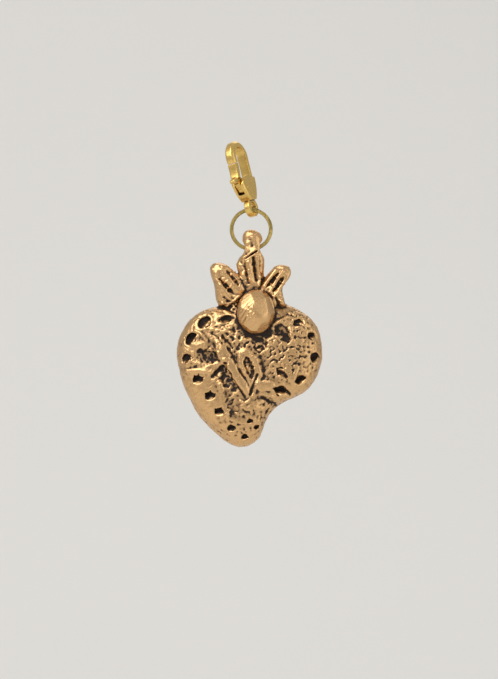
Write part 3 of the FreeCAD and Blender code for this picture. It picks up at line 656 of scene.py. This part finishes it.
def stroke_height(across, down, stroke):
    """The height that a stroke adds at each place, with rounded ends."""
    points, start_width, end_width, height = stroke
    line = smooth_line(points)
    reach = STROKE_REACH * max(start_width, end_width) * PIXELS_PER_MM
    low, high = line.min(0) - reach, line.max(0) + reach
    near = (across > low[0]) & (across < high[0]) & (down > low[1]) & (down < high[1])
    made = np.zeros(len(across))
    if not near.any():
        return made
    here = np.stack([across[near], down[near]], 1)
    best = np.full(len(here), np.inf)
    along = np.zeros(len(here))
    for number, (start, end) in enumerate(zip(line, line[1:])):
        run = end - start
        t = np.clip(((here - start) @ run) / (run @ run), 0, 1)
        gap = np.hypot(*(here - start - t[:, None] * run).T)
        closer = gap < best
        best[closer] = gap[closer]
        along[closer] = (number + t[closer]) / (len(line) - 1)
    width = (start_width + (end_width - start_width) * along) * PIXELS_PER_MM
    made[near] = height * np.exp(-((best / width) ** 2))
    return made


def pit_height(across, down, pit):
    """The hollow that a slanting tool leaves: a steep step on its deep side, a ramp on the other."""
    centre_x, centre_y, half_width, half_height, turn, depth = pit
    angle = math.radians(turn)
    right = (across - centre_x) / PIXELS_PER_MM
    up = (centre_y - down) / PIXELS_PER_MM
    side = right * math.cos(angle) - up * math.sin(angle)
    deep = right * math.sin(angle) + up * math.cos(angle)
    radius = np.hypot(side / half_width, deep / half_height)
    inside = 1 - smoothstep(*PIT_EDGE, radius)
    ramp = np.clip((deep / half_height + 1.0) / 1.6, 0, 1)
    lip = np.exp(-(((radius - PIT_LIP_RADIUS) / PIT_LIP_SPREAD) ** 2)) * PIT_LIP_HEIGHT
    filled = PIT_RAMP_FILL * (1 - ramp) - PIT_DEEP_CUT * ramp
    return depth * (inside * filled + lip * np.clip(0.6 + deep / half_height, 0, 1))


def patch_strength(across, down, patches):
    """How far each place lies in any of the soft-edged oval patches, from 0 to 1."""
    strength = np.zeros(len(across))
    for centre_x, centre_y, half_width, half_height, share in patches:
        gap = np.hypot((across - centre_x) / half_width, (down - centre_y) / half_height)
        strength = np.maximum(strength, share * (1 - smoothstep(*PATCH_EDGE, gap)))
    return strength


def cut_facets(points, strength):
    """Presses the boss's surface back to each facet's plane, as a rubbed egg has."""
    middle = np.array(BOSS_MIDDLE)
    halves = np.array(BOSS_HALVES)
    for facing, depth in BOSS_FACETS:
        facing = np.array(facing) / np.linalg.norm(facing)
        level = np.linalg.norm(halves * facing) - depth
        proud = np.clip((points - middle) @ facing - level, 0, None) * strength * BOSS_PRESSED
        points = points - proud[:, None] * facing
    return points


def node_tree(name):
    """A new material with a bare shader wired to its output."""
    material = bpy.data.materials.new(name)
    material.use_nodes = True
    tree = material.node_tree
    tree.nodes.clear()
    output = tree.nodes.new("ShaderNodeOutputMaterial")
    shader = tree.nodes.new("ShaderNodeBsdfPrincipled")
    tree.links.new(shader.outputs["BSDF"], output.inputs["Surface"])
    return material, tree, shader


def coordinates(tree, scale=(1, 1, 1)):
    """Object coordinates in millimetres, stretched by a scale for each axis."""
    place = tree.nodes.new("ShaderNodeTexCoord")
    stretch = tree.nodes.new("ShaderNodeMapping")
    stretch.inputs["Scale"].default_value = Vector(scale) / MM
    tree.links.new(place.outputs["Object"], stretch.inputs["Vector"])
    return stretch.outputs["Vector"]


def noise_texture(tree, vector, scale, detail=3.0, roughness=0.55):
    texture = tree.nodes.new("ShaderNodeTexNoise")
    texture.inputs["Scale"].default_value = scale
    texture.inputs["Detail"].default_value = detail
    texture.inputs["Roughness"].default_value = roughness
    tree.links.new(vector, texture.inputs["Vector"])
    return texture.outputs["Fac"]


def ramp(tree, value, stops):
    """A colour ramp over a value: stops are pairs of place and grey level or colour."""
    node = tree.nodes.new("ShaderNodeValToRGB")
    elements = node.color_ramp.elements
    while len(elements) > 1:
        elements.remove(elements[-1])
    for number, (place, level) in enumerate(stops):
        colour = (level, level, level) if isinstance(level, (int, float)) else level
        element = elements[0] if number == 0 else elements.new(place)
        element.position = place
        element.color = (*colour, 1)
    tree.links.new(value, node.inputs["Fac"])
    return node.outputs["Color"]


def mixed(tree, share, first, second):
    """A blend of two colours, of which any may be a socket or a plain value."""
    node = tree.nodes.new("ShaderNodeMix")
    node.data_type = "RGBA"
    node.clamp_result = True
    sockets = (node.inputs[0], node.inputs[6], node.inputs[7])
    for socket, value in zip(sockets, (share, first, second)):
        if isinstance(value, bpy.types.NodeSocket):
            tree.links.new(value, socket)
        elif isinstance(value, (int, float)):
            socket.default_value = value
        else:
            socket.default_value = (*value, 1)
    return node.outputs[2]


def arithmetic(tree, operation, first, second):
    node = tree.nodes.new("ShaderNodeMath")
    node.operation = operation
    for socket, value in zip(node.inputs, (first, second)):
        if isinstance(value, bpy.types.NodeSocket):
            tree.links.new(value, socket)
        else:
            socket.default_value = value
    return node.outputs[0]


def grained(tree, value, grain, share):
    """A value made uneven by a share of a grain that runs from 0 to 1."""
    centred = arithmetic(tree, "SUBTRACT", grain, 0.5)
    return arithmetic(tree, "ADD", value, arithmetic(tree, "MULTIPLY", centred, share))


def attribute(tree, name):
    node = tree.nodes.new("ShaderNodeAttribute")
    node.attribute_name = name
    return node.outputs["Fac"]


def add_bump(tree, shader, height, distance, strength):
    bump = tree.nodes.new("ShaderNodeBump")
    bump.inputs["Distance"].default_value = distance
    bump.inputs["Strength"].default_value = strength
    tree.links.new(height, bump.inputs["Height"])
    tree.links.new(bump.outputs["Normal"], shader.inputs["Normal"])


def bronze_material(finish):
    """Cast bronze: dark patina in the hollows, brown on the open surfaces, rubbed bright on the highs."""
    material, tree, shader = node_tree("cast_bronze")
    hollow = attribute(tree, "hollow")
    rubbed = attribute(tree, "rubbed")
    plain = coordinates(tree)
    brushed = coordinates(tree, (0.4, 2.6, 2.6))
    clouds = noise_texture(tree, plain, 0.35, 4.0)
    specks = noise_texture(tree, plain, 3.2, 5.0, 0.65)
    hairs = noise_texture(tree, brushed, 2.4, 3.0)

    # Brown field, warmer and cooler in slow clouds, and brighter where it is rubbed
    cloudy = ramp(tree, clouds, [(0.35, 0.0), (0.65, 1.0)])
    field = mixed(tree, cloudy, tuple(finish.bronze_field), WARM_FIELD)
    streaked = grained(tree, rubbed, hairs, 0.7)
    bright = ramp(tree, streaked, [(0.15, 0.0), (0.75, 1.0)])
    metal = mixed(tree, bright, field, tuple(finish.bronze_high))

    # Patina gathers in the hollows, broken up by the grain
    broken = grained(tree, hollow, specks, 0.55)
    patina_and_corner_shade = ramp(tree, broken, [(0.18, 0.0), (0.72, 1.0)])
    colour = mixed(tree, patina_and_corner_shade, metal, tuple(finish.bronze_hollow))
    tree.links.new(colour, shader.inputs["Base Color"])

    metallic = ramp(tree, patina_and_corner_shade, [(0.0, 1.0), (1.0, 0.55)])
    tree.links.new(metallic, shader.inputs["Metallic"])
    shine = ramp(tree, streaked, [(0.1, 0.47), (0.8, 0.27)])
    rough = mixed(tree, patina_and_corner_shade, shine, (0.62, 0.62, 0.62))
    tree.links.new(rough, shader.inputs["Roughness"])
    height = arithmetic(tree, "ADD", specks, arithmetic(tree, "MULTIPLY", hairs, 0.35))
    add_bump(tree, shader, height, 0.045 * MM, 0.9)
    return material


def brass_material(name, colour, shade, roughness, metal=1.0):
    """Polished brass, a little worn, with painted shade in its corners and fine scuffs that vary the gloss.
    """
    material, tree, shader = node_tree(name)
    plain = coordinates(tree)
    scuffs = noise_texture(tree, coordinates(tree, (1.0, 1.0, 3.0)), 2.2, 4.0)
    clouds = noise_texture(tree, plain, 0.6, 3.0)
    hollow = attribute(tree, "hollow")
    cloudy = ramp(tree, clouds, [(0.35, 0.0), (0.7, 1.0)])
    worn = mixed(tree, cloudy, colour, tuple(c * 0.88 for c in colour))
    # Painted shade: the corners are darkened towards the shade colour, broken up by clouds
    corner_shade_mottled = grained(tree, hollow, clouds, 0.4)
    patina_and_corner_shade = ramp(tree, corner_shade_mottled, [(0.12, 0.0), (0.75, 1.0)])
    tree.links.new(mixed(tree, patina_and_corner_shade, worn, shade), shader.inputs["Base Color"])
    shader.inputs["Metallic"].default_value = metal
    gloss = ramp(tree, scuffs, [(0.3, roughness), (0.75, roughness + 0.14)])
    tree.links.new(gloss, shader.inputs["Roughness"])
    add_bump(tree, shader, scuffs, 0.012 * MM, 0.6)
    return material


def steel_material(finish):
    """Spring steel with fine drawn lines along its length."""
    material, tree, shader = node_tree("spring_steel")
    shader.inputs["Metallic"].default_value = 1.0
    lines = noise_texture(tree, coordinates(tree, (6.0, 6.0, 0.5)), 2.0, 2.0)
    colour = mixed(tree, lines, tuple(finish.steel), tuple(c * 0.7 for c in finish.steel))
    tree.links.new(colour, shader.inputs["Base Color"])
    tree.links.new(ramp(tree, lines, [(0.3, 0.25), (0.7, 0.42)]), shader.inputs["Roughness"])
    return material


def pale_material(colour):
    """Matt paint with a trace of cloudiness."""
    material, tree, shader = node_tree("pale_floor")
    clouds = noise_texture(tree, coordinates(tree), 0.01, 3.0)
    lighter = tuple(min(c * 1.02, 1) for c in colour)
    tree.links.new(mixed(tree, clouds, tuple(colour), lighter), shader.inputs["Base Color"])
    shader.inputs["Roughness"].default_value = 0.9
    shader.inputs["Specular IOR Level"].default_value = 0.1
    return material


class CHARM_OT_heart(Operator):
    """Heart casting: an even surface over the solid, worked with pits, strokes and grain, and stained"""

    bl_idname = "charm.heart"
    bl_label = "Heart casting"

    def execute(self, context):
        relief = context.scene.charm_relief
        heart = Surface("heart_casting", "cast_heart", relief.heart_voxel)
        heart.soften(relief.heart_softening)
        across, down = photo_places(heart.points)
        facing = -heart.normals()[:, 1]
        front = smoothstep(*WORKED_FACING, facing)
        boss_x, boss_y = BOSS_CENTRE_PX
        boss_half_width, boss_half_height = BOSS_HALVES_PX
        boss_gap = np.hypot((across - boss_x) / boss_half_width, (down - boss_y) / boss_half_height)
        on_boss = (1 - smoothstep(*BOSS_EDGE, boss_gap)) * (heart.points[:, 1] < BOSS_FRONT_Y)
        off_boss = 1 - on_boss

        # Slow unevenness everywhere, less on the worked boss
        swell = noise_values(heart.points, SWELL_WAVE, 3)
        heights = swell * relief.swell_height / MM * (1 - 0.8 * on_boss)

        # Cuts and swells of the front
        for pit in PITS:
            heights += pit_height(across, down, pit) * relief.pit_depth * front * off_boss
        for stroke in HEART_STROKES + CROWN_STROKES:
            heights += stroke_height(across, down, stroke) * relief.stroke_height * front * off_boss
        heart.push(heights)

        # Facets of the boss, and the brush marks over them
        heart.points = cut_facets(heart.points, on_boss)
        marks = np.zeros(len(heart.points))
        for stroke in BOSS_STROKES:
            marks += stroke_height(across, down, stroke) * on_boss * front
        heart.push(marks)

        # Grain: crumbled wax in the hollows, fine pits on the right, brush marks on the smooth band
        crumbs = 1 - 2.4 * np.abs(noise_values(heart.points, CRUMB_WAVE, 2, (9.2, 0.4, 5.5)))
        pores = noise_values(heart.points, PORE_WAVE, 2, (3.1, 7.7, 1.3))
        pores = np.minimum(pores + 0.12, 0.22) * 2.2
        hairs = noise_values(heart.points @ BAND_BRUSHING, BRUSH_WAVE, 1, (1.2, 2.2, 8.0))
        boss_hairs = noise_values(heart.points @ BOSS_BRUSHING, BOSS_BRUSH_WAVE)
        crumbled = patch_strength(across, down, CRUMBLED) * front
        pitted = patch_strength(across, down, PITTED) * front
        brushed = patch_strength(across, down, BRUSHED) * front
        grain = crumbs * (0.16 + 1.1 * crumbled) * (1 - 0.85 * brushed)
        grain += pores * (0.30 + 0.85 * pitted) * (1 - 0.8 * brushed)
        grain += hairs * 0.30 * brushed
        left_of_boss = on_boss * smoothstep(*BOSS_BRUSHED_TO_PX, across)
        grain = grain * off_boss + boss_hairs * 0.45 * left_of_boss
        plain_back = BACK_GRAIN + (1 - BACK_GRAIN) * smoothstep(*GRAINED_FACING, facing)
        heart.push(grain * relief.grain_height / MM * plain_back)

        # Patina in the hollows, and rubbed metal on what stands out, the brushed band and the boss
        depth = sum(weight * heart.hollowness(passes, reach) for passes, reach, weight in HOLLOW_SIZES)
        hollow = np.clip(depth, 0, 1) * (1 - 0.85 * on_boss)
        rubbed = np.clip(0.34 - 0.9 * depth + 0.25 * brushed, 0, 1)
        rubbed = np.maximum(rubbed, 0.85 * on_boss * smoothstep(*RUBBED_FACING, facing))
        heart.write("hollow", hollow)
        heart.write("rubbed", heart.averaged(rubbed, 1))
        material = bronze_material(context.scene.charm_finish)
        heart.finish("charm", "cast_bronze", material, ["heart_casting"])
        return {"FINISHED"}


class CHARM_OT_ring(Operator):
    """Jump ring: round wire spun about the ring's axis, with the fine cut where its ends meet"""

    bl_idname = "charm.ring"
    bl_label = "Jump ring"

    def execute(self, context):
        low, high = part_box("jump_ring")
        joint = [joint for joint in frame["joints"] if joint["name"] == "ring_turn"][0]
        centre = Vector(joint["pos_m"])
        wire = (high.y - low.y) / 2
        middle = (high.x - low.x) / 2 - wire
        cut = math.degrees(RING_CUT * MM / middle)

        # The wire's round section, stood up at one end of the cut and spun to the other
        ring = bmesh.new()
        bmesh.ops.create_circle(ring, cap_ends=False, radius=wire, segments=WIRE_FACETS)
        turn = Matrix.Rotation(math.radians(90), 4, "X")
        place = Matrix.Translation((middle, 0, 0)) @ turn.inverted()
        bmesh.ops.transform(ring, matrix=place, verts=ring.verts)
        to_cut = Matrix.Rotation(math.radians(-(90 - RING_CUT_ANGLE - cut / 2)), 3, "Y")
        bmesh.ops.rotate(ring, cent=(0, 0, 0), matrix=to_cut, verts=ring.verts)
        bmesh.ops.spin(
            ring,
            geom=ring.verts[:] + ring.edges[:],
            cent=(0, 0, 0),
            axis=(0, 1, 0),
            angle=math.radians(360 - cut),
            steps=RING_FACETS,
            use_merge=False,
            use_duplicate=False,
        )

        # Capped and slightly rounded ends
        bmesh.ops.holes_fill(ring, edges=ring.edges, sides=0)
        caps = [face for face in ring.faces if len(face.verts) > 4]
        rims = [edge for face in caps for edge in face.edges]
        bmesh.ops.bevel(
            ring,
            geom=rims,
            offset=RING_CUT_ROUNDING * MM,
            segments=2,
            profile=0.5,
            affect="EDGES",
            material=-1,
        )
        bmesh.ops.translate(ring, vec=centre, verts=ring.verts)
        bmesh.ops.recalc_face_normals(ring, faces=ring.faces)
        finish = context.scene.charm_finish
        colours = (tuple(finish.ring_brass), tuple(finish.brass_shade))
        material = brass_material("ring_brass", *colours, RING_ROUGHNESS, RING_METAL)
        place_piece(ring, "wire_ring", material, "ring", ["jump_ring"])
        return {"FINISHED"}


def ordered_mesh(shape, name):
    """A bmesh's mesh with its points and faces in the order of their places, the same on every run."""
    points = sorted(shape.verts, key=lambda vert: tuple(vert.co))
    rank = {vert: number for number, vert in enumerate(points)}
    faces = []
    for face in shape.faces:
        corners = [rank[vert] for vert in face.verts]
        start = corners.index(min(corners))
        faces.append(corners[start:] + corners[:start])
    mesh = bpy.data.meshes.new(name)
    mesh.from_pydata([tuple(vert.co) for vert in points], [], sorted(faces))
    return mesh


def place_piece(shape, name, material, body, nodes):
    """Makes an object of a bmesh, smooth and dressed, in place of its nodes."""
    mesh = ordered_mesh(shape, name)
    shape.free()
    mesh.materials.append(material)
    mesh.shade_smooth()
    mesh.attributes.new("hollow", "FLOAT", "POINT")
    piece = bpy.data.objects.new(name, mesh)
    bpy.context.scene.collection.objects.link(piece)
    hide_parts(*nodes)
    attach(piece, body)


class CHARM_OT_clasp(Operator):
    """Clasp body and lever: their solids with the cast edges rounded, and painted shade in the corners"""

    bl_idname = "charm.clasp"
    bl_label = "Clasp"

    def execute(self, context):
        relief = context.scene.charm_relief
        finish = context.scene.charm_finish
        colours = (tuple(finish.brass), tuple(finish.brass_shade))
        material = brass_material("clasp_brass", *colours, CLASP_ROUGHNESS)
        pieces = (("clasp_body", "claw", "clasp"), ("clasp_lever", "claw_lever", "lever"))
        for node, name, body in pieces:
            piece = Surface(node, name, relief.metal_voxel)
            piece.points = piece.averaged(piece.points, 2, 0.8)
            piece.soften(relief.clasp_softening)
            uneven = noise_values(piece.points, CLASP_WAVE, 2, (4.0, 1.0, 2.0))
            piece.push(uneven * CLASP_UNEVENNESS)
            # Painted shade: how deep each point lies in a corner, which darkens the brass there
            hollow = np.clip(piece.hollowness(14, 0.05), 0, 1)
            piece.write("hollow", piece.averaged(hollow, 2))
            piece.finish(body, "clasp_brass", material, [node])
        return {"FINISHED"}


class CHARM_OT_pin_and_spring(Operator):
    """Pivot pin on an even grid with its edges softened, and the steel spring behind the lever"""

    bl_idname = "charm.pin_and_spring"
    bl_label = "Pin and spring"

    def execute(self, context):
        relief = context.scene.charm_relief
        finish = context.scene.charm_finish
        colours = (tuple(finish.brass), tuple(finish.brass_shade))
        material = brass_material("pin_brass", *colours, PIN_ROUGHNESS)
        pin = Surface("clasp_pivot_pin", "claw_pin", relief.metal_voxel * PIN_GRID_SHARE)
        pin.soften(relief.clasp_softening)
        pin.write("hollow", np.zeros(len(pin.points)))
        pin.finish("clasp", "clasp_brass", material, ["clasp_pivot_pin"])
        spring = frame["nodes"]["clasp_spring"]
        spring.data.materials.clear()
        spring.data.materials.append(steel_material(finish))
        return {"FINISHED"}


def soft_lamp(name, power, size, place, target):
    """An oblong lamp at a place, facing the target."""
    lamp = bpy.data.lights.new(name, "AREA")
    lamp.energy = power
    lamp.shape = "RECTANGLE"
    lamp.size, lamp.size_y = size
    holder = bpy.data.objects.new(name, lamp)
    holder.location = place
    holder.rotation_euler = (target - place).to_track_quat("-Z", "Y").to_euler()
    bpy.context.scene.collection.objects.link(holder)


class CHARM_OT_stage(Operator):
    """Pale floor that sweeps up to a backdrop, soft lamps, even room light and the photograph's camera"""

    bl_idname = "charm.stage"
    bl_label = "Stage"

    def execute(self, context):
        stage = context.scene.charm_stage
        low, high = cad_box
        centre = (low + high) / 2

        # Floor and backdrop: a strip bent up in an arc
        floor_level = low.z - stage.floor_drop
        sweep = bmesh.new()
        side = -SWEEP_WIDTH / 2
        back = stage.backdrop_distance
        bend = SWEEP_BEND
        profile = [Vector((side, SWEEP_FRONT, 0)), Vector((side, back - bend, 0))]
        for step in range(1, BEND_STEPS + 1):
            angle = math.radians(90 * step / BEND_STEPS)
            rise = bend - bend * math.cos(angle)
            profile.append(Vector((side, back - bend + bend * math.sin(angle), rise)))
        profile.append(Vector((side, back, SWEEP_WIDTH / 2)))
        corners = [sweep.verts.new(point + Vector((0, 0, floor_level))) for point in profile]
        edges = [sweep.edges.new(pair) for pair in zip(corners, corners[1:])]
        grown = bmesh.ops.extrude_edge_only(sweep, edges=edges)
        moved = [item for item in grown["geom"] if isinstance(item, bmesh.types.BMVert)]
        bmesh.ops.translate(sweep, vec=(SWEEP_WIDTH, 0, 0), verts=moved)
        bmesh.ops.recalc_face_normals(sweep, faces=sweep.faces)
        mesh = bpy.data.meshes.new("pale_sweep")
        sweep.to_mesh(mesh)
        sweep.free()
        mesh.materials.append(pale_material(stage.floor_colour))
        mesh.shade_smooth()
        floor = bpy.data.objects.new("pale_sweep", mesh)
        context.scene.collection.objects.link(floor)

        # Lamps and the room's even light
        for name, size, place in LAMPS:
            power = getattr(stage, f"{name}_power")
            soft_lamp(name, power, size, centre + Vector(place), centre)
        world = bpy.data.worlds.new("room")
        context.scene.world = world
        world.use_nodes = True
        level = world.node_tree.nodes["Background"]
        level.inputs["Color"].default_value = (1.0, 0.985, 0.96, 1)
        level.inputs["Strength"].default_value = stage.world_level

        # Camera: level, in front, framing what the photograph frames
        middle_x = (PHOTO_WIDTH / 2 - ORIGIN_PX) / PIXELS_PER_MM * MM
        middle_z = (ORIGIN_PY - PHOTO_HEIGHT / 2) / PIXELS_PER_MM * MM
        tall = PHOTO_HEIGHT / PIXELS_PER_MM * MM
        lens = bpy.data.cameras.new("camera")
        lens.sensor_fit = "AUTO"
        lens.lens = stage.camera_distance * lens.sensor_width / tall
        lens.clip_start = 0.01
        lens.clip_end = 20
        camera = bpy.data.objects.new("camera", lens)
        camera.location = (middle_x, -stage.camera_distance, middle_z)
        camera.rotation_euler = (math.radians(90), 0, 0)
        context.scene.collection.objects.link(camera)
        context.scene.camera = camera
        context.scene.view_settings.view_transform = "Standard"
        return {"FINISHED"}


class CHARM_PT_panel(Panel):
    """Buttons and settings of the charm"""

    bl_label = "Heart charm"
    bl_space_type = "VIEW_3D"
    bl_region_type = "UI"
    bl_category = "Charm"

    def draw(self, context):
        for operator in OPERATORS:
            self.layout.operator(operator.bl_idname)
        for group in (context.scene.charm_relief, context.scene.charm_finish, context.scene.charm_stage):
            column = self.layout.column()
            for name in group.__annotations__:
                column.prop(group, name)


OPERATORS = (CHARM_OT_stage, CHARM_OT_heart, CHARM_OT_ring, CHARM_OT_clasp, CHARM_OT_pin_and_spring)
GROUPS = {"charm_relief": CharmRelief, "charm_finish": CharmFinish, "charm_stage": CharmStage}
CLASSES = (*GROUPS.values(), *OPERATORS, CHARM_PT_panel)


def register():
    for cls in CLASSES:
        bpy.utils.register_class(cls)
    for name, group in GROUPS.items():
        setattr(bpy.types.Scene, name, PointerProperty(type=group))


def unregister():
    for name in GROUPS:
        delattr(bpy.types.Scene, name)
    for cls in reversed(CLASSES):
        bpy.utils.unregister_class(cls)


def main():
    register()
    bpy.ops.charm.stage()
    bpy.ops.charm.heart()
    bpy.ops.charm.ring()
    bpy.ops.charm.clasp()
    bpy.ops.charm.pin_and_spring()


if __name__ == "__main__":
    main()
